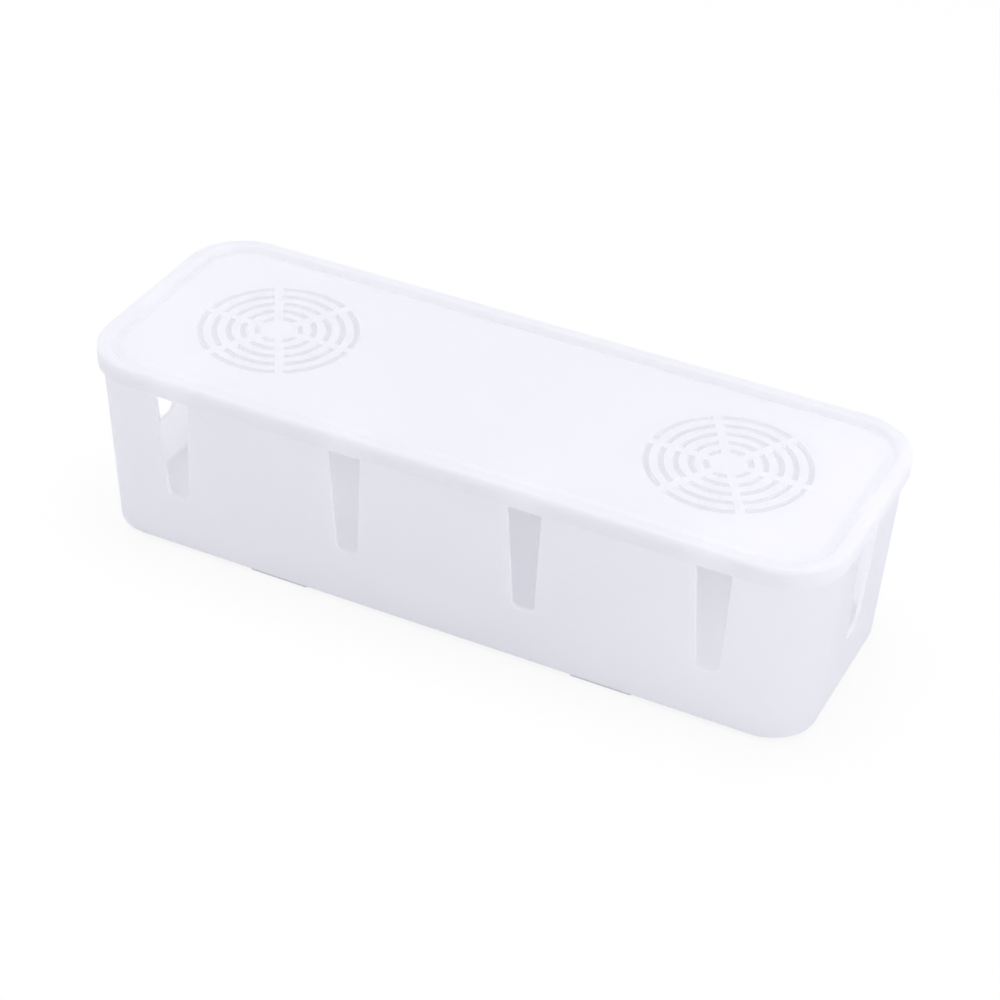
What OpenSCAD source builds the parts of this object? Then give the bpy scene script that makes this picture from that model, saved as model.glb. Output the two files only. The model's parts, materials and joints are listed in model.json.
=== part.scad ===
// Cable management box: a drafted plastic tray with open-topped cable slots
// and a vented lift-off lid whose skirt drops over the tray's rim.
// Millimetres. X runs along the box, the front faces -Y, and Z = 0 is the
// surface that the box stands on, under its feet.

/* [Whole box] */
// Length over the lid's skirt
box_length = 320; // [240:1:420]
// Width over the lid's skirt
box_width = 115.3; // [100:0.1:160]
// Height from under the feet to the top of the lid
box_height = 86.2; // [64:0.1:120]

/* [Lid] */
// Radius of the lid's corners, seen from above
lid_corner_r = 25.7; // [20:0.1:40]
// Thickness of the lid's top
lid_wall = 1.8; // [1.4:0.1:3]
// Rounding of the lid's outer top edge
lid_edge_r = 1.5; // [0.5:0.1:2.5]
// Drop of the skirt, from the lid's top to its lower edge
skirt_drop = 8.4; // [7.5:0.1:16]
// Thickness of the skirt
skirt_wall = 1.5; // [1.2:0.1:2.2]
// Gap between the skirt and the tray's rim
skirt_gap = 0.4; // [0.3:0.05:0.8]

/* [Groove and centre panel of the lid] */
// Depth of the groove below the lid's top
groove_depth = 2.4; // [1.8:0.1:3.2]
// Width of the slope from the lid's border down into the groove
groove_slope = 2.1; // [1.6:0.1:3]
// Width of the groove's flat floor
groove_floor = 0.4; // [0.3:0.1:1.5]
// Width of the slope from the groove up to the centre panel
panel_slope = 2.3; // [1.5:0.1:4]
// Drop from the lid's border to the centre panel
panel_drop = 1.3; // [0.6:0.1:1.5]
// Gap between the inside of the tray's rim and the underside of the groove
groove_gap = 0.5; // [0.3:0.05:0.8]

/* [Vents] */
// Distance between the centres of the two vents
vent_spacing = 197; // [150:1:220]
// Radius of a vent's outermost slits, at their outer side
vent_r = 32.9; // [28:0.1:36]
// Rings of slits in a vent
vent_rings = 5; // [2:1:5]
// Distance from one ring of slits to the next
vent_pitch = 5.75; // [5:0.05:6.5]
// Width of a slit
vent_slit = 2.3; // [1.5:0.1:4]
// Spokes that cross the rings
vent_spokes = 6; // [4:2:8]
// Width of a spoke
spoke_width = 3.6; // [2:0.1:5]

/* [Tray] */
// Thickness of the tray's walls
tray_wall = 1.8; // [1.4:0.1:2.4]
// Thickness of the tray's floor
floor_wall = 2.0; // [1.4:0.1:3]
// Draft angle of the two long walls
side_draft = 4.2; // [1:0.1:6]
// Draft angle of the two end walls
end_draft = 2.6; // [1:0.1:6]
// Radius of the tray's corners at its lower edge
base_corner_r = 19.6; // [14:0.1:22]
// Rounding of the tray's lower edge, outside
base_edge_r = 1.5; // [0.6:0.1:3]
// Rounding between the walls and the floor, inside
inner_edge_r = 1.2; // [0.6:0.1:3]

/* [Cable slots in the front wall] */
// Slots in the front wall
slot_count = 4; // [2:1:4]
// Distance between the slots' centres
slot_pitch = 77.3; // [50:0.1:78]
// Height of the slots' sills above the surface the box stands on
slot_sill = 27; // [15:0.5:40]
// Width of a slot at its sill
slot_sill_width = 9.5; // [7:0.1:14]
// Width of a slot at the tray's rim
slot_rim_width = 15.5; // [14:0.1:22]
// Radius of a slot's lower corners
slot_corner_r = 2.5; // [1:0.1:3]

/* [Cable slots in the end walls] */
// Height of the sills above the surface the box stands on
end_slot_sill = 25; // [15:0.5:40]
// Width of a slot at its sill
end_slot_sill_width = 14.3; // [10:0.1:20]
// Width of a slot at the tray's rim
end_slot_rim_width = 21.4; // [20:0.1:30]
// Radius of a slot's lower corners
end_slot_corner_r = 4; // [1:0.1:4.5]

/* [Feet] */
// Distance between the feet's centres, along the box
foot_spacing = 143.6; // [100:0.1:180]
// Length of a foot, along the box
foot_length = 26.3; // [15:0.1:40]
// Depth of a foot, across the box
foot_depth = 10; // [6:0.1:20]
// Height of a foot
foot_height = 1.3; // [1:0.1:4]
// Radius of a foot's corners
foot_corner_r = 0.8; // [0.3:0.1:2]

/* [Hidden] */
$fn = 64;

// Every outline is a rounded rectangle, written [half length, half width, corner radius].
lid_outline = [box_length / 2, box_width / 2, lid_corner_r];
rim_outline = inset(lid_outline, skirt_wall + skirt_gap);

// The lid's section keeps one thickness. Where its top bends by an angle, the
// bend of its underside lies this far along from the bend above.
groove_shift = lid_wall * tan(atan(groove_depth / groove_slope) / 2);
panel_shift = lid_wall * tan(atan((groove_depth - panel_drop) / panel_slope) / 2);

// Distances in from the lid's outline, at the top of the lid
border_width = skirt_wall + skirt_gap + tray_wall + groove_gap + groove_shift;
groove_outside = border_width + groove_slope;
groove_inside = groove_outside + groove_floor;
panel_inset = groove_inside + panel_slope;

// Heights, from the lid's top down
skirt_z = box_height - skirt_drop;
rim_z = box_height - lid_wall;
panel_z = box_height - panel_drop;
groove_z = box_height - groove_depth;
base_z = foot_height;
floor_z = base_z + floor_wall;

// Steps in a quarter turn of the tray's rounded lower edges
edge_steps = 5;
// Steps in a slot's rounded lower corner
corner_steps = 6;
// How far a cutter runs past the face that it cuts
past = 1;
// Height of one slab of the tray's hulls
slab_t = 0.01;

plastic_color = [0.95, 0.95, 0.97];
foot_color = [0.88, 0.88, 0.90];

// The outline o, drawn in by d all round
function inset(o, d) = [o[0] - d, o[1] - d, o[2] - d];

// The tray's outer outline at height z: the long and end walls lean in by
// their own drafts, and the corner radius shrinks evenly from rim to base.
function tray_outline(z) = [
    rim_outline[0] - (rim_z - z) * tan(end_draft),
    rim_outline[1] - (rim_z - z) * tan(side_draft),
    rim_outline[2] - (rim_z - z) / (rim_z - base_z) * (rim_outline[2] - base_corner_r)
];

module flat_outline(o) {
    square([2 * (o[0] - o[2]), 2 * o[1]], center = true);
    square([2 * o[0], 2 * (o[1] - o[2])], center = true);
    for (x = [-1, 1], y = [-1, 1])
        translate([x * (o[0] - o[2]), y * (o[1] - o[2])])
            circle(o[2]);
}

// A straight-sided slab from z0 to z1
module slab(o, z0, z1) {
    translate([0, 0, z0])
        linear_extrude(z1 - z0)
            flat_outline(o);
}

// A slab whose sides slope evenly, from d0 inside the outline o at z0 to d1
// inside it at z1
module sloped_slab(o, d0, z0, d1, z1) {
    length = 2 * (o[0] - o[2]);
    width = 2 * (o[1] - o[2]);
    for (x = [-1, 1], y = [-1, 1])
        translate([x * length / 2, y * width / 2, z0])
            cylinder(h = z1 - z0, r1 = o[2] - d0, r2 = o[2] - d1);
    translate([-length / 2, 0, 0])
        rotate([90, 0, 90])
            linear_extrude(length)
                sloped_section(o[1] - d0, z0, o[1] - d1, z1);
    translate([0, width / 2, 0])
        rotate([90, 0, 0])
            linear_extrude(width)
                sloped_section(o[0] - d0, z0, o[0] - d1, z1);
}

module sloped_section(half0, z0, half1, z1) {
    polygon([[-half0, z0], [half0, z0], [half1, z1], [-half1, z1]]);
}

// A slab whose upper edge is rounded to the radius edge_r
module rounded_slab(o, z0, z1, edge_r) {
    slab(o, z0, z1 - edge_r);
    slab(inset(o, edge_r), z0, z1);
    for (x = [-1, 1], y = [-1, 1])
        translate([x * (o[0] - o[2]), y * (o[1] - o[2]), z1 - edge_r])
            corner_round(o[2], edge_r);
    for (y = [-1, 1])
        translate([0, y * (o[1] - edge_r), z1 - edge_r])
            rotate([0, 90, 0])
                cylinder(h = 2 * (o[0] - o[2]), r = edge_r, center = true);
    for (x = [-1, 1])
        translate([x * (o[0] - edge_r), 0, z1 - edge_r])
            rotate([90, 0, 0])
                cylinder(h = 2 * (o[1] - o[2]), r = edge_r, center = true);
}

// The rounded edge of a corner of radius r, as a ring about the corner's axis
module corner_round(r, edge_r) {
    rotate_extrude()
        translate([r - edge_r, 0])
            circle(edge_r);
}

// One closed ring of the tray's outline at height z, drawn in by d
module tray_ring(z, d) {
    slab(inset(tray_outline(z), d), z, z + slab_t);
}

// The tray's outline filled from z0 up to z1, drawn in by d, with its lower
// edge rounded to edge_r
module drafted_block(z0, z1, d, edge_r) {
    hull() {
        tray_ring(z1, d);
        for (i = [0 : edge_steps]) {
            a = 90 * i / edge_steps;
            tray_ring(z0 + edge_r * (1 - sin(a)), d + edge_r * (1 - cos(a)));
        }
    }
}

// A slot seen square on: flat sill at y = 0, sides that lean out up to the
// rim at y = h and run on past it, and round lower corners
module slot_shape(sill_w, rim_w, h, r) {
    lean = atan((rim_w - sill_w) / 2 / h);
    // Centre of a lower corner: r above the sill and r in from the side
    cx = sill_w / 2 - r * (1 - sin(lean)) / cos(lean);
    top_x = rim_w / 2 + past * tan(lean);
    right_corner = [
        for (i = [0 : corner_steps])
            let (a = -90 + i * (90 - lean) / corner_steps)
                [cx + r * cos(a), r + r * sin(a)]
    ];
    left_corner = [
        for (i = [corner_steps : -1 : 0])
            [-right_corner[i][0], right_corner[i][1]]
    ];
    polygon(concat(right_corner, [[top_x, h + past], [-top_x, h + past]], left_corner));
}

module front_wall_slots() {
    for (i = [0 : slot_count - 1])
        translate([(i - (slot_count - 1) / 2) * slot_pitch, 0, slot_sill])
            rotate([90, 0, 0])
                linear_extrude(box_width)
                    slot_shape(slot_sill_width, slot_rim_width, rim_z - slot_sill, slot_corner_r);
}

module end_wall_slots() {
    translate([0, 0, end_slot_sill])
        rotate([90, 0, 90])
            linear_extrude(box_length, center = true)
                slot_shape(end_slot_sill_width, end_slot_rim_width, rim_z - end_slot_sill, end_slot_corner_r);
}

module tray() {
    color(plastic_color)
        difference() {
            intersection() {
                drafted_block(base_z, rim_z + past, 0, base_edge_r);
                slab(lid_outline, base_z, rim_z);
            }
            drafted_block(floor_z, rim_z + past, tray_wall, inner_edge_r);
            front_wall_slots();
            end_wall_slots();
        }
}

// One vent, as the solid that cuts its slits: rings, less the spokes
module vent_slits() {
    translate([0, 0, panel_z - lid_wall - past])
        linear_extrude(lid_wall + 2 * past)
            difference() {
                for (i = [0 : vent_rings - 1])
                    difference() {
                        circle(vent_r - i * vent_pitch);
                        circle(vent_r - i * vent_pitch - vent_slit);
                    }
                for (i = [0 : vent_spokes / 2 - 1])
                    rotate(i * 360 / vent_spokes)
                        square([2 * (vent_r + past), spoke_width], center = true);
            }
}

// The space above the groove and the centre panel
module groove_space() {
    difference() {
        union() {
            sloped_slab(lid_outline, groove_outside, groove_z, border_width, box_height);
            slab(inset(lid_outline, border_width), box_height, box_height + past);
        }
        sloped_slab(lid_outline, groove_inside, groove_z, panel_inset, panel_z);
    }
}

// What hangs into the box below the level of the tray's rim: the undersides
// of the groove and of the centre panel
module hanging_part() {
    difference() {
        sloped_slab(lid_outline, groove_outside - groove_shift, groove_z - lid_wall,
                    border_width - groove_shift, rim_z);
        sloped_slab(lid_outline, groove_inside + panel_shift, groove_z - lid_wall,
                    panel_inset + panel_shift, panel_z - lid_wall);
    }
}

module lid() {
    color(plastic_color)
        difference() {
            rounded_slab(lid_outline, skirt_z, box_height, lid_edge_r);
            difference() {
                slab(inset(lid_outline, skirt_wall), skirt_z - past, rim_z);
                hanging_part();
            }
            groove_space();
            for (x = [-1, 1])
                translate([x * vent_spacing / 2, 0, 0])
                    vent_slits();
        }
}

// A foot pad: x is -1 at the left and 1 at the right, y is -1 at the front
// and 1 at the back. Its outer edge meets the end of the tray's flat base.
module foot(x, y) {
    flat_edge = tray_outline(base_z)[1] - base_edge_r;
    color(foot_color)
        translate([x * foot_spacing / 2, y * (flat_edge - foot_depth / 2), 0])
            slab([foot_length / 2, foot_depth / 2, foot_corner_r], 0, base_z);
}

tray();
lid();
foot(-1, -1);  // front_left_foot
foot(1, -1);  // front_right_foot
foot(-1, 1);  // back_left_foot
foot(1, 1);  // back_right_foot
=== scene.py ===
# %% [markdown]
# # A cable management box
# The object is a long white plastic tray with tapered cable slots, a lid that lifts off, and four low
# foot pads. Such boxes are often moulded in polypropylene, with soft edges, thin even walls and a satin
# finish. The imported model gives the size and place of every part. This lesson models each moulding again
# with the rounded edges that light picks out, gives it a plastic finish, and sets a studio round it.

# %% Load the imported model
import json
import math

import bmesh
import bpy
from mathutils import Matrix, Vector

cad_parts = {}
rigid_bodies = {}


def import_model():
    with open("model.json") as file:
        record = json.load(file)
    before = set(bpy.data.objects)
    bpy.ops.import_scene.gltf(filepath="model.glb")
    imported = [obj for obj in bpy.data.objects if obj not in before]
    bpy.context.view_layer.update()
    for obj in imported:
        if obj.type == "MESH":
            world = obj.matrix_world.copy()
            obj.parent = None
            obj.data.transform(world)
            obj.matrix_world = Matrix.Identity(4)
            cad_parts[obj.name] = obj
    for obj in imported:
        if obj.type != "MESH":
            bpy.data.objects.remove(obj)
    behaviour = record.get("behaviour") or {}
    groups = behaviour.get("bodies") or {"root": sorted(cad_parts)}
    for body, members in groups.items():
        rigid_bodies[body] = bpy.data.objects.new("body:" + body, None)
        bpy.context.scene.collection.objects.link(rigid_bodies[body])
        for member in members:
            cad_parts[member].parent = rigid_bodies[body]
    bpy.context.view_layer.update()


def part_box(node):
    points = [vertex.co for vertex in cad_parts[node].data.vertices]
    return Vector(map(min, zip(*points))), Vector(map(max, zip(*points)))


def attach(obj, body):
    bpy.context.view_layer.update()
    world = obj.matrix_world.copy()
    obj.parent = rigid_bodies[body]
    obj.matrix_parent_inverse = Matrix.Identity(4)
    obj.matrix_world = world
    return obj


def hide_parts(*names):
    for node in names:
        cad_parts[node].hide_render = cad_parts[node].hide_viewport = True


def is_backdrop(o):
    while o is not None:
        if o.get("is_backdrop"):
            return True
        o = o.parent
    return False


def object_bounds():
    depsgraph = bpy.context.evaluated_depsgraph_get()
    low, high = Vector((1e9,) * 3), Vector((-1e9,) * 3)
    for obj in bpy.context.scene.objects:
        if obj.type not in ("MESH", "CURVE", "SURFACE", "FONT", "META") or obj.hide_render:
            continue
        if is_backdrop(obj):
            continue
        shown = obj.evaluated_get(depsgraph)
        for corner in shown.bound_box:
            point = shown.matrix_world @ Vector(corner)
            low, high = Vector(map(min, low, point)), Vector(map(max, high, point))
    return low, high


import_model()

MM = 0.001
lid_low, lid_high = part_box("lid")
tray_low, tray_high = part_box("tray")
print("lid, mm:", [round(v / MM, 1) for v in (*lid_low, *lid_high)])
print("tray, mm:", [round(v / MM, 1) for v in (*tray_low, *tray_high)])

# %% [markdown]
# ## The camera
# A product shot is taken from a distance with a long lens, so that the box hardly tapers. The camera
# could be placed by eye, but here its turn, tilt and distance are worked out from the box itself: the
# outline of the lid and the tray and the two long front edges of the lid fix them to about a pixel.

# %% Place the camera
camera_place = Vector((0.3796, -0.8237, 0.6701))
camera_turn = math.radians(24.54)
camera_dip = math.radians(35.03)
camera_roll = math.radians(2.65)
lens_mm = 98.75
sensor_mm = 36.0

camera_data = bpy.data.cameras.new("product_camera")
camera_data.lens = lens_mm
camera_data.sensor_width = sensor_mm
camera = bpy.data.objects.new("product_camera", camera_data)
bpy.context.scene.collection.objects.link(camera)
aim = Matrix.Rotation(camera_turn, 4, "Z") @ Matrix.Rotation(math.pi / 2 - camera_dip, 4, "X")
camera.matrix_world = Matrix.Translation(camera_place) @ aim @ Matrix.Rotation(camera_roll, 4, "Z")
bpy.context.scene.camera = camera
print("camera to the origin, m:", round(camera_place.length, 3))

# %% [markdown]
# ## Working as by hand
# Every piece starts from a primitive and is shaped in edit mode with inset, extrude and bevel. Such
# tools act on what is selected, so each step first picks faces or edges by their place. The next cells
# hold helpers that begin a piece, pick its faces or edges, shape them, and finish the piece. A piece is
# picked by a test in plain words, such as facing up at the height of the rim, and never by index
# numbers, which change at every edit.


# %% Begin a piece
def clear_selection():
    """Leave edit mode and select nothing."""
    if bpy.context.mode != "OBJECT":
        bpy.ops.object.mode_set(mode="OBJECT")
    bpy.ops.object.select_all(action="DESELECT")


def begin(name, size):
    """Name the new primitive, put its size and place into its mesh, and open it in edit mode."""
    piece = bpy.context.active_object
    piece.scale = size
    piece.name = name
    piece.data.name = name
    bpy.ops.object.transform_apply(location=True, rotation=True, scale=True)
    bpy.ops.object.mode_set(mode="EDIT")
    return piece


def edit(piece):
    """Open one finished mesh in edit mode again."""
    clear_selection()
    bpy.context.view_layer.objects.active = piece
    bpy.ops.object.mode_set(mode="EDIT")


# %% Pick faces and edges
def pick(piece, kind, test):
    """In edit mode, select just the faces or edges that pass the test, and count them."""
    bpy.ops.mesh.select_mode(type=kind)
    bpy.ops.mesh.select_all(action="DESELECT")
    shape = bmesh.from_edit_mesh(piece.data)
    shape.normal_update()
    passed = [item for item in {"FACE": shape.faces, "EDGE": shape.edges}[kind] if test(item)]
    if not passed:
        raise ValueError(f"nothing was picked on {piece.name}")
    for item in passed:
        item.select_set(True)
    shape.select_flush_mode()
    bmesh.update_edit_mesh(piece.data)
    return len(passed)


# %% Tests of place
same_place = 0.05 * MM
level_normal = 0.9


def near(a, b, tolerance=same_place):
    return abs(a - b) < tolerance


def at_height(edge, z):
    return all(near(vert.co.z, z) for vert in edge.verts)


def upright(edge):
    a, b = (vert.co for vert in edge.verts)
    return near(a.x, b.x) and near(a.y, b.y)


def looks_up(face):
    return face.normal.z > level_normal


def looks_down(face):
    return face.normal.z < -level_normal


def borders(edge, z, looks):
    """Whether an edge at height z lies between a face that passes the test and one that doesn't."""
    passes = [looks(face) for face in edge.link_faces]
    return at_height(edge, z) and any(passes) and not all(passes)


# %% Shape what is picked
def push(rise):
    """Extrude what is selected straight up, or down if the rise is negative."""
    bpy.ops.mesh.extrude_region_move(TRANSFORM_OT_translate={"value": (0, 0, rise)})


def lift(rise):
    """Move what is selected straight up, or down."""
    bpy.ops.transform.translate(value=(0, 0, rise))


def inset(width):
    bpy.ops.mesh.inset(thickness=width, use_even_offset=True, use_boundary=True)


def round_off(radius, segments):
    """Round the selected edges to a radius."""
    bpy.ops.mesh.bevel(
        offset=radius, offset_type="OFFSET", segments=segments, affect="EDGES", clamp_overlap=True
    )


# %% Finish a piece
smooth_below = math.radians(35)
normal_weight = 60


def apply_modifier(piece, kind, **settings):
    """Add a modifier, set it and apply it."""
    if bpy.context.mode != "OBJECT":
        bpy.ops.object.mode_set(mode="OBJECT")
    bpy.context.view_layer.objects.active = piece
    modifier = piece.modifiers.new(kind.lower(), kind)
    for key, value in settings.items():
        setattr(modifier, key, value)
    bpy.ops.object.modifier_apply(modifier=modifier.name)


def finish_piece(piece):
    """Leave edit mode, shade smooth up to an angle, and let flat faces keep flat shading."""
    clear_selection()
    piece.select_set(True)
    bpy.context.view_layer.objects.active = piece
    bpy.ops.object.shade_smooth_by_angle(angle=smooth_below)
    apply_modifier(piece, "WEIGHTED_NORMAL", keep_sharp=True, weight=normal_weight)
    piece.select_set(False)
    print(piece.name, "faces:", len(piece.data.polygons))
    return piece


# %% [markdown]
# ## The lid
# The lid is one thin moulding: a flat border, a shallow groove, a centre panel that lies a little below
# the border, and a skirt that drops over the tray. It could be swept from its cross-section along a
# rounded rectangle. Insets and pushes do the same on a block with rounded corners, and they leave clean
# rings of edges to round afterwards. The underside follows the top, so the wall is real everywhere.

# %% Heights and walls
top_z = lid_high.z
skirt_z = lid_low.z
rim_z = tray_high.z
lid_wall = top_z - rim_z
skirt_wall = 1.5 * MM
skirt_gap = lid_high.x - tray_high.x - skirt_wall
tray_wall = 1.8 * MM
print("lid wall, mm:", round(lid_wall / MM, 2), "skirt gap, mm:", round(skirt_gap / MM, 2))

# %% Block out the lid
lid_corner = 25.7 * MM
lid_outline = (lid_high.x, lid_high.y, lid_corner)
corner_segments = 20

clear_selection()
bpy.ops.mesh.primitive_cube_add(size=1, location=(0, 0, (top_z + skirt_z) / 2))
lid = begin("lid_moulding", (2 * lid_high.x, 2 * lid_high.y, top_z - skirt_z))
count = pick(lid, "EDGE", upright)
round_off(lid_corner, corner_segments)
print("corners rounded:", count)

# %% [markdown]
# ## The groove and the panel
# The groove slopes down from the border to a narrow floor and up again to the panel. One soft dip would
# be quicker, but the two slopes catch the light differently, and that draws the thin dark and bright
# lines round a real lid. Where the top bends by an angle, a wall of one thickness bends underneath at a
# place that is shifted by the wall times the tangent of half that angle.

# %% Sizes of the groove
groove_gap = 0.5 * MM
groove_depth = 2.4 * MM
groove_slope = 2.1 * MM
groove_floor = 0.4 * MM
panel_slope = 2.3 * MM
panel_drop = 1.3 * MM
panel_rise = groove_depth - panel_drop

groove_shift = lid_wall * math.tan(math.atan(groove_depth / groove_slope) / 2)
panel_shift = lid_wall * math.tan(math.atan(panel_rise / panel_slope) / 2)
border_width = skirt_wall + skirt_gap + tray_wall + groove_gap + groove_shift
panel_inset = border_width + groove_slope + groove_floor + panel_slope
panel_z = top_z - panel_drop
print("border, mm:", round(border_width / MM, 2), "panel inset, mm:", round(panel_inset / MM, 2))


# %% Sink the groove and the panel
def lower(steps):
    """Inset the picked face by each step's width and move what lies inside by the step's height."""
    for width, rise in steps:
        inset(width)
        lift(rise)


pick(lid, "FACE", looks_up)
inset(border_width)
lower([(groove_slope, -groove_depth), (groove_floor, 0.0), (panel_slope, panel_rise)])
print("panel below the border, mm:", round(panel_drop / MM, 2))

# %% Hollow the underside
under_floor = groove_floor + groove_shift + panel_shift

pick(lid, "FACE", lambda face: looks_down(face) and near(face.calc_center_median().z, skirt_z))
inset(skirt_wall)
push(rim_z - skirt_z)
inset(border_width - groove_shift - skirt_wall)
lower([(groove_slope, -groove_depth), (under_floor, 0.0), (panel_slope, panel_rise)])
print("groove floor underneath, mm:", round(under_floor / MM, 2))


# %% Round the lid's edges
def depth_inside(point, outline):
    """How far a point lies inside a rounded rectangle (half length, half width, corner radius)."""
    half_length, half_width, corner = outline
    past_x = abs(point.x) - (half_length - corner)
    past_y = abs(point.y) - (half_width - corner)
    outside = math.hypot(max(past_x, 0.0), max(past_y, 0.0)) + min(max(past_x, past_y), 0.0)
    return corner - outside


def ring_edge(edge, z, depth):
    """Whether an edge runs round the lid at height z and at a depth inside the outline."""
    depths = [depth_inside(vert.co, lid_outline) for vert in edge.verts]
    return at_height(edge, z) and all(near(d, depth, 2 * same_place) for d in depths)


edge_plan = [
    # height, depth inside the outline, radius, segments
    (top_z, 0.0, 1.5 * MM, 8),
    (panel_z, panel_inset, 1.0 * MM, 4),
    (top_z, border_width, 0.7 * MM, 4),
    (skirt_z, 0.0, 0.4 * MM, 3),
    (skirt_z, skirt_wall, 0.3 * MM, 2),
]
for height, depth, radius, segments in edge_plan:
    count = pick(lid, "EDGE", lambda edge: ring_edge(edge, height, depth))
    round_off(radius, segments)
    print("rounded", count, "edges at", round(height / MM, 1), "mm to", round(radius / MM, 1), "mm")

# %% [markdown]
# ## The vents
# Each vent is a set of arc-shaped slits, cut through the panel between six straight spokes. One slit
# could be drawn as a curve, but spinning a small face about the vent's centre makes the same bar, and
# two bisects trim its ends parallel to the spokes. The bar is copied round the vent, and one boolean
# cuts all the slits. Their top edges are then rounded a little, as moulded slits are.

# %% Sizes of the vents
vent_x = 98.5 * MM
vent_radius = 32.9 * MM
vent_rings = 5
vent_pitch = 5.75 * MM
slit_width = 2.3 * MM
slit_round = 0.25 * MM
spokes = 6
spoke_width = 3.6 * MM
past = 1 * MM
cut_low = panel_z - lid_wall - past
cut_high = panel_z + past
inner_radius = vent_radius - (vent_rings - 1) * vent_pitch - slit_width
print("vent radii, mm:", round(inner_radius / MM, 2), "to", round(vent_radius / MM, 2))

# %% Model one slit as a bar
half_turn = math.pi / spokes
step_length = 1.6 * MM
least_steps = 6


def slit_bar(outer):
    """A bar whose outer radius is given: a face spun about the vent's centre, then trimmed."""
    middle = (outer - slit_width / 2, 0, (cut_low + cut_high) / 2)
    clear_selection()
    bpy.ops.mesh.primitive_plane_add(size=1, rotation=(math.pi / 2, 0, 0), location=middle)
    bar = begin("slit_bar", (slit_width, cut_high - cut_low, 1))
    # The spin sweeps clockwise, so the face is first turned to the far side.
    bpy.ops.object.mode_set(mode="OBJECT")
    bar.data.transform(Matrix.Rotation(half_turn, 4, "Z"))
    bpy.ops.object.mode_set(mode="EDIT")
    bpy.ops.mesh.select_all(action="SELECT")
    steps = max(least_steps, round(outer / step_length))
    bpy.ops.mesh.spin(steps=steps, angle=2 * half_turn, center=(0, 0, 0), axis=(0, 0, 1))
    trim_ends(outer)
    bpy.ops.mesh.select_all(action="SELECT")
    bpy.ops.mesh.normals_make_consistent(inside=False)
    bpy.ops.object.mode_set(mode="OBJECT")
    return bar


def trim_ends(outer):
    """Cut both ends of the bar parallel to the spokes, half a spoke's width away."""
    for side in (-1, 1):
        along = Vector((math.cos(half_turn), side * math.sin(half_turn), 0))
        away = Vector((-math.sin(half_turn) * side, math.cos(half_turn), 0)) * side
        end = along * outer - away * spoke_width / 2
        bpy.ops.mesh.select_all(action="SELECT")
        bpy.ops.mesh.bisect(plane_co=end, plane_no=away, clear_outer=True, use_fill=True)


# %% Copy the bars round both vents
def copy_of(piece, matrix):
    """A copy with its own mesh, moved by a matrix."""
    twin = piece.copy()
    twin.data = piece.data.copy()
    twin.data.transform(matrix)
    bpy.context.scene.collection.objects.link(twin)
    return twin


def join(parts, name):
    """Join pieces into the first one and name it."""
    clear_selection()
    for part in parts:
        part.select_set(True)
    bpy.context.view_layer.objects.active = parts[0]
    bpy.ops.object.join()
    parts[0].name = name
    return parts[0]


bars = []
for ring in range(vent_rings):
    bar = slit_bar(vent_radius - ring * vent_pitch)
    for side in (-1, 1):
        for turn in range(spokes):
            spin = Matrix.Rotation((turn + 0.5) * 2 * math.pi / spokes, 4, "Z")
            bars.append(copy_of(bar, Matrix.Translation((side * vent_x, 0, 0)) @ spin))
    bpy.data.objects.remove(bar)
vent_cutter = join(bars, "vent_cutter")
print("slits:", len(bars))


# %% Cut the slits
def cut(piece, cutter):
    """Take the cutter's shape out of the piece, and throw the cutter away."""
    apply_modifier(piece, "BOOLEAN", operation="DIFFERENCE", solver="EXACT", object=cutter)
    bpy.data.objects.remove(cutter)


cut(lid, vent_cutter)
print("lid faces after the cut:", len(lid.data.polygons))

# %% Round the slits
steep_normal = 0.2


def slit_edge(edge):
    """Whether an edge borders a slit: flat panel on one side, a slit's wall on the other."""
    if len(edge.link_faces) != 2 or not at_height(edge, panel_z):
        return False
    steep = [abs(face.normal.z) < steep_normal for face in edge.link_faces]
    centre = (edge.verts[0].co + edge.verts[1].co) / 2
    off_vent = math.hypot(abs(centre.x) - vent_x, centre.y)
    return any(steep) and not all(steep) and off_vent < vent_radius + past


edit(lid)
count = pick(lid, "EDGE", slit_edge)
round_off(slit_round, 2)
print("slit edges rounded:", count)
lid = finish_piece(lid)

# %% [markdown]
# ## The tray
# The tray leans outwards on all four sides, so that it leaves its mould, and its corners are wider at
# the rim than at the base. A box could be scaled at its top, but that would stretch the round corners
# into ovals. Two flat rounded rectangles, one at each level, bridged together, keep them round and give
# each side its own lean. Solidify then gives the wall, and a bisect trims the rim level.

# %% Sizes of the tray
base_z = tray_low.z
floor_wall = 2.0 * MM
rim_corner = lid_corner - skirt_wall - skirt_gap
base_corner = 19.6 * MM
side_draft = math.radians(4.2)
end_draft = math.radians(2.6)
trim = 3 * MM


def tray_outline(z):
    """The tray's outer outline (half length, half width, corner radius) at height z."""
    rise = rim_z - z
    return (
        tray_high.x - rise * math.tan(end_draft),
        tray_high.y - rise * math.tan(side_draft),
        rim_corner - rise / (rim_z - base_z) * (rim_corner - base_corner),
    )


print("tray base, mm:", [round(2 * v / MM, 1) for v in tray_outline(base_z)[:2]])


# %% Bridge the base to the rim
def rounded_plate(z):
    """A flat rounded rectangle with the tray's outline at height z."""
    half_length, half_width, corner = tray_outline(z)
    clear_selection()
    bpy.ops.mesh.primitive_plane_add(size=1, location=(0, 0, z))
    plate = begin("plate", (2 * half_length, 2 * half_width, 1))
    bpy.ops.mesh.select_all(action="SELECT")
    bpy.ops.mesh.bevel(offset=corner, segments=corner_segments, affect="VERTICES", clamp_overlap=False)
    bpy.ops.object.mode_set(mode="OBJECT")
    return plate


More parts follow.
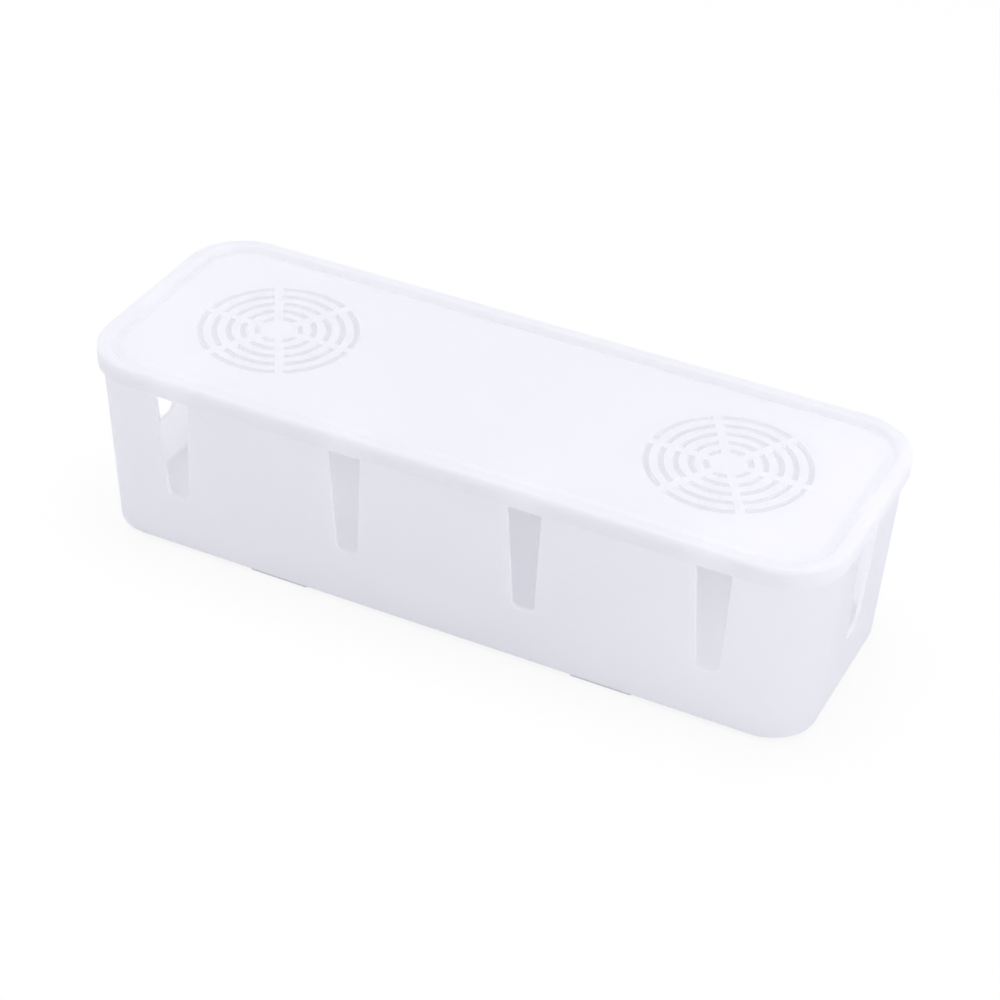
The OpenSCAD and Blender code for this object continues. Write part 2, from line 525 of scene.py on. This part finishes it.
tray = join([rounded_plate(base_z), rounded_plate(rim_z + trim)], "tray_moulding")
bpy.ops.object.mode_set(mode="EDIT")
pick(tray, "FACE", lambda face: face.calc_center_median().z > rim_z)
bpy.ops.mesh.delete(type="ONLY_FACE")
pick(tray, "EDGE", lambda edge: True)
bpy.ops.mesh.bridge_edge_loops()
bpy.ops.mesh.select_all(action="SELECT")
bpy.ops.mesh.normals_make_consistent(inside=False)
print("tray skin faces:", len(bmesh.from_edit_mesh(tray.data).faces))

# %% Give it a wall and a level rim
apply_modifier(tray, "SOLIDIFY", thickness=tray_wall, offset=-1, use_even_offset=True)
bpy.ops.object.mode_set(mode="EDIT")
bpy.ops.mesh.select_all(action="SELECT")
bpy.ops.mesh.bisect(plane_co=(0, 0, rim_z), plane_no=(0, 0, 1), clear_outer=True, use_fill=True)
print("tray faces with a wall:", len(bmesh.from_edit_mesh(tray.data).faces))

# %% Round the base, and thicken the floor
base_round = 1.5 * MM
inner_round = 1.2 * MM
floor_z = base_z + floor_wall

pick(tray, "EDGE", lambda edge: borders(edge, base_z, looks_down))
round_off(base_round, 6)
pick(tray, "FACE", lambda face: looks_up(face) and near(face.calc_center_median().z, base_z + tray_wall))
lift(floor_wall - tray_wall)
count = pick(tray, "EDGE", lambda edge: borders(edge, floor_z, looks_up))
round_off(inner_round, 4)
print("edges rounded round the inner floor:", count)

# %% [markdown]
# ## The cable slots
# Leads drop into the slots from above, so each one is open at the rim and narrows towards a sill with
# round corners. A slot could be drawn into the wall face by face, but the wall leans and its corners
# are curved. A tapered block that passes straight through it gives the true outline at once, and the
# same block makes the front slots and, turned by a quarter, the slots in both end walls.

# %% Sizes of the slots
slot_count = 4
slot_pitch = 77.3 * MM
# sill height, width at the sill, width at the rim, corner radius
front_slot = (27 * MM, 9.5 * MM, 15.5 * MM, 2.5 * MM)
end_slot = (25 * MM, 14.3 * MM, 21.4 * MM, 4 * MM)


def slot_block(sill, sill_width, top_width, corner, reach):
    """A tapered block that runs along Y, with its two lower edges rounded."""
    height = rim_z - sill
    lean = (top_width - sill_width) / 2 / height
    wide = (sill_width + 2 * lean * (height + trim)) / sill_width
    clear_selection()
    bpy.ops.mesh.primitive_cube_add(size=1, location=(0, 0, sill + (height + trim) / 2))
    block = begin("slot_block", (sill_width, 2 * reach, height + trim))
    pick(block, "FACE", looks_up)
    bpy.ops.transform.resize(value=(wide, 1, 1))
    pick(block, "EDGE", lambda edge: at_height(edge, sill) and near(edge.verts[0].co.x, edge.verts[1].co.x))
    round_off(corner, 6)
    bpy.ops.object.mode_set(mode="OBJECT")
    return block


# %% Cut the slots
front_block = slot_block(*front_slot, lid_high.y / 2)
blocks = []
for i in range(slot_count):
    place = ((i - (slot_count - 1) / 2) * slot_pitch, -lid_high.y / 2, 0)
    blocks.append(copy_of(front_block, Matrix.Translation(place)))
bpy.data.objects.remove(front_block)
for block in blocks:
    cut(tray, block)

end_block = slot_block(*end_slot, lid_high.x)
end_block.data.transform(Matrix.Rotation(math.pi / 2, 4, "Z"))
cut(tray, end_block)
print("front slots:", len(blocks), "tray faces:", len(tray.data.polygons))

# %% Round the slots and the rim
slot_round = 0.75 * MM
sharp_angle = math.radians(55)
above_floor = 20 * MM


def sharp_high(edge):
    """Whether an edge is a sharp one of the slots or the rim, well above the floor."""
    sharp = len(edge.link_faces) == 2 and edge.calc_face_angle() > sharp_angle
    return sharp and edge.verts[0].co.z > above_floor


edit(tray)
count = pick(tray, "EDGE", sharp_high)
round_off(slot_round, 3)
print("edges of slots and rim rounded:", count)
tray = finish_piece(tray)

# %% [markdown]
# ## The foot pads
# Four low pads keep the base off the table. Each could be a plain block, but a real pad has rounded
# corners and a slight bevel where it meets the table. All four are alike, so one is modelled and copied
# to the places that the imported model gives. A hair's gap under the tray keeps two faces out of one plane.

# %% Model one pad
pad_corner = 0.8 * MM
pad_edge = 0.3 * MM
pad_gap = 0.03 * MM
first_low, first_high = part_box("front_left_foot")

clear_selection()
bpy.ops.mesh.primitive_cube_add(size=1, location=(first_low + first_high) / 2)
model_pad = begin("model_pad", first_high - first_low)
pick(model_pad, "EDGE", upright)
round_off(pad_corner, 5)
pick(model_pad, "FACE", looks_up)
lift(-pad_gap)
pick(model_pad, "EDGE", lambda edge: borders(edge, 0.0, looks_down))
round_off(pad_edge, 2)
model_pad = finish_piece(model_pad)

# %% Copy it to its four places
pads = {}
for name in ("front_left_foot", "front_right_foot", "back_left_foot", "back_right_foot"):
    low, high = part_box(name)
    pad = copy_of(model_pad, Matrix.Translation(low - first_low))
    pad.name = name.replace("foot", "pad")
    pad.data.name = pad.name
    pads[name] = pad
    print(pad.name, "size, mm:", [round(v / MM, 2) for v in high - low])
bpy.data.objects.remove(model_pad)

# %% [markdown]
# ## Materials
# The mouldings look like white polypropylene. Light soaks through such thin walls, and then the slots
# glow instead of looking like dark holes. A plain white would miss that, so the finish of the lid and
# the tray mixes a satin surface with a translucent one. Every finish also varies a little: slow clouds
# in its tone and its gloss, a fine moulded grain, and a few tiny specks. All of it comes from noise in
# the object's own coordinates, so it stays with the piece when the piece moves.


# %% A small class for shader maths
class Link:
    """A shader value that works in a Python expression, where each operator adds a Math node."""

    def __init__(self, tree, socket):
        self.tree = tree
        self.socket = socket

    def math(self, operation, a, b):
        return add_node(self.tree, "ShaderNodeMath", {"operation": operation}, {0: a, 1: b})["Value"]

    def __add__(self, other):
        return self.math("ADD", self, other)

    def __radd__(self, other):
        return self.math("ADD", other, self)

    def __sub__(self, other):
        return self.math("SUBTRACT", self, other)

    def __rsub__(self, other):
        return self.math("SUBTRACT", other, self)

    def __mul__(self, other):
        return self.math("MULTIPLY", self, other)

    def __rmul__(self, other):
        return self.math("MULTIPLY", other, self)

    def __lt__(self, other):
        return self.math("LESS_THAN", self, other)

    def __gt__(self, other):
        return self.math("GREATER_THAN", self, other)


# %% Any other node
def add_node(tree, kind, settings, inputs):
    """A node with its settings set first, then its sockets, by name or, where names repeat, by number.

    It gives back the node's outputs in use, by name."""
    node = tree.nodes.new(kind)
    for key, value in settings.items():
        setattr(node, key, value)
    for key, value in inputs.items():
        if isinstance(value, Link):
            tree.links.new(value.socket, node.inputs[key])
        else:
            node.inputs[key].default_value = value
    return {socket.name: Link(tree, socket) for socket in node.outputs if socket.enabled}


def new_tree(name):
    """A new material and its empty node tree."""
    material = bpy.data.materials.new(name)
    material.use_nodes = True
    material.node_tree.nodes.clear()
    return material, material.node_tree


# %% Blends of colours and of shaders
# The Mix node has an A and a B for each kind of data. These two are for colours.
color_a, color_b = 6, 7


def blend(tree, factor, a, b):
    """A colour between a and b."""
    colors = {"Factor": factor, color_a: (*a, 1.0), color_b: (*b, 1.0)}
    return add_node(tree, "ShaderNodeMix", {"data_type": "RGBA"}, colors)["Result"]


def mix_shaders(tree, factor, a, b):
    """A shader between a and b."""
    return add_node(tree, "ShaderNodeMixShader", {}, {0: factor, 1: a, 2: b})["Shader"]


# %% Clouds and specks
cloud_scale = 14.0
noise_detail = 2.0
speck_scale = 30.0
speck_radius = 0.012
speck_rarity = 0.8
speck_depth = 0.9


def noise(tree, place, scale):
    inputs = {"Vector": place, "Scale": scale, "Detail": noise_detail}
    return add_node(tree, "ShaderNodeTexNoise", {}, inputs)["Fac"]


def specks(tree, place):
    """1 inside a tiny dot, and 0 elsewhere. Only the cells that win a lottery have a dot."""
    cells = add_node(tree, "ShaderNodeTexVoronoi", {}, {"Vector": place, "Scale": speck_scale})
    lottery = add_node(tree, "ShaderNodeSeparateColor", {}, {"Color": cells["Color"]})["Red"]
    return (cells["Distance"] < speck_radius) * (lottery > speck_rarity)


# %% A moulded plastic
grain_strength = 0.2
grain_height = 0.05 * MM
gloss_swing = 0.05
plastic_ior = 1.49
light_through = (0.982, 0.983, 0.992, 1.0)


def moulded(name, tones, roughness, grain, glow=None):
    """Satin plastic: two tones in slow clouds, a fine grain, a few specks, and light through the wall.

    The glow is the share of light that goes through. It is a number, or a function of the height,
    because a wall glows only where there is light behind it."""
    material, tree = new_tree(name)
    place = add_node(tree, "ShaderNodeTexCoord", {}, {})["Object"]
    cloud = noise(tree, place, cloud_scale)
    tone = blend(tree, cloud * (1.0 - speck_depth * specks(tree, place)), *tones)
    bump = {"Strength": grain_strength, "Distance": grain_height, "Height": noise(tree, place, grain)}
    normal = add_node(tree, "ShaderNodeBump", {}, bump)["Normal"]
    gloss = roughness - gloss_swing + 2 * gloss_swing * cloud
    satin = {"Base Color": tone, "Roughness": gloss, "IOR": plastic_ior, "Normal": normal}
    surface = add_node(tree, "ShaderNodeBsdfPrincipled", {}, satin)["BSDF"]
    if callable(glow):
        glow = glow(add_node(tree, "ShaderNodeSeparateXYZ", {}, {"Vector": place})["Z"])
    if glow is not None:
        thin = {"Color": light_through, "Normal": normal}
        through = add_node(tree, "ShaderNodeBsdfTranslucent", {}, thin)["BSDF"]
        surface = mix_shaders(tree, glow, surface, through)
    add_node(tree, "ShaderNodeOutputMaterial", {}, {"Surface": surface})
    return material


# %% Finish the lid, the tray and the pads
lid_glow = 0.6
wall_glow = 0.88
underside_glow = 0.05
underside_z = base_z + 0.5 * MM
white_tones = ((0.955, 0.955, 0.968), (0.975, 0.975, 0.985))
pad_tones = ((0.78, 0.78, 0.8), (0.83, 0.83, 0.85))


def tray_glow(z):
    """Light passes the walls and nearly stops at the underside, which lies close to the table."""
    return underside_glow + (wall_glow - underside_glow) * (z > underside_z)


def wear(piece, material):
    piece.data.materials.clear()
    piece.data.materials.append(material)


wear(lid, moulded("lid_polypropylene", white_tones, 0.42, 2600.0, lid_glow))
wear(tray, moulded("tray_polypropylene", white_tones, 0.38, 3200.0, tray_glow))
pad_finish = moulded("pad_elastomer", pad_tones, 0.6, 1800.0)
for pad in pads.values():
    wear(pad, pad_finish)
print("finishes:", [piece.data.materials[0].name for piece in (lid, tray, pads["front_left_foot"])])

# %% [markdown]
# ## What moves with what
# On the real box the lid comes off by hand and the pads stay on the tray. A piece could be parented to
# an empty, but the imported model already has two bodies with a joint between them. So each piece
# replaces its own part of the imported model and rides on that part's body, and it moves when the joint
# does.

# %% Ride
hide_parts("lid")
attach(lid, "lid_body")
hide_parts("tray")
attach(tray, "tray_body")
for name, pad in pads.items():
    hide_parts(name)
    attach(pad, "tray_body")
print("pieces on the tray's body:", 1 + len(pads))

# %% [markdown]
# ## The studio
# White on white needs care: the background has to be white while the box keeps its shades. More light
# would bleach both. So the floor and the world look white to the camera alone, through Light Path, and
# light the box at a plain level. A trace of plain paper is left in the floor, to show a soft shadow.

# %% The floor
floor_size = 8
paper_white = (0.93, 0.93, 0.93, 1.0)
seen_white = 0.85

clear_selection()
bpy.ops.mesh.primitive_plane_add(size=floor_size, location=(0, 0, 0))
floor = bpy.context.active_object
floor.name = "studio_floor"
floor_material, tree = new_tree("studio_white")
paper = add_node(tree, "ShaderNodeBsdfDiffuse", {}, {"Color": paper_white})["BSDF"]
white_glow = {"Color": (1.0, 1.0, 1.0, 1.0), "Strength": 1.0}
bright = add_node(tree, "ShaderNodeEmission", {}, white_glow)["Emission"]
camera_ray = add_node(tree, "ShaderNodeLightPath", {}, {})["Is Camera Ray"]
sheet = mix_shaders(tree, camera_ray * seen_white, paper, bright)
add_node(tree, "ShaderNodeOutputMaterial", {}, {"Surface": sheet})
wear(floor, floor_material)
floor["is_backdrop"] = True
print("floor, m:", floor_size)

# %% [markdown]
# ## The lights
# A large soft lamp above the box lights its top evenly. Two smaller ones, at the right and the left,
# light the end walls, the right one more strongly, so that the corner between the front and the end
# shows. A sun would be simpler, but its hard shadows don't belong in such a shot.

# %% Hang the softboxes
lamp_target = Vector((0, 0, 0.05))
lamps = [
    # name, place in m, size in m, power in W
    ("top_softbox", (-0.05, 0.1, 1.4), (1.6, 1.2), 14.0),
    ("right_softbox", (1.4, -0.1, 0.3), (1.0, 0.5), 5.0),
    ("left_softbox", (-1.3, -0.5, 0.3), (1.0, 0.5), 1.5),
]


def softbox(name, place, size, power):
    """A rectangular lamp that faces the box."""
    data = bpy.data.lights.new(name, "AREA")
    data.shape = "RECTANGLE"
    data.size, data.size_y = size
    data.energy = power
    lamp = bpy.data.objects.new(name, data)
    bpy.context.scene.collection.objects.link(lamp)
    lamp.location = place
    lamp.rotation_euler = (lamp_target - Vector(place)).to_track_quat("-Z", "Y").to_euler()


for lamp in lamps:
    softbox(*lamp)
print("lamps, W:", sum(power for name, place, size, power in lamps))

# %% Fill with the world
fill_light = (0.545, 0.54, 0.585)
white = (1.0, 1.0, 1.0)

world = bpy.data.worlds.new("studio")
bpy.context.scene.world = world
world.use_nodes = True
tree = world.node_tree
tree.nodes.clear()
camera_ray = add_node(tree, "ShaderNodeLightPath", {}, {})["Is Camera Ray"]
sky = {"Color": blend(tree, camera_ray, fill_light, white)}
glowing = add_node(tree, "ShaderNodeBackground", {}, sky)["Background"]
add_node(tree, "ShaderNodeOutputWorld", {}, {"Surface": glowing})
bpy.context.scene.view_settings.view_transform = "Standard"
print("fill light:", fill_light)

# %% [markdown]
# ## The sizes
# The dressed box is measured and its size printed, and the imported lid and tray were measured and printed
# at the start. The dressed box has to fit in the box of the imported model.

# %% Measure the dressed box
low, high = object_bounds()
print("dressed box, mm:", [round(v / MM, 1) for v in (*low, *high)])
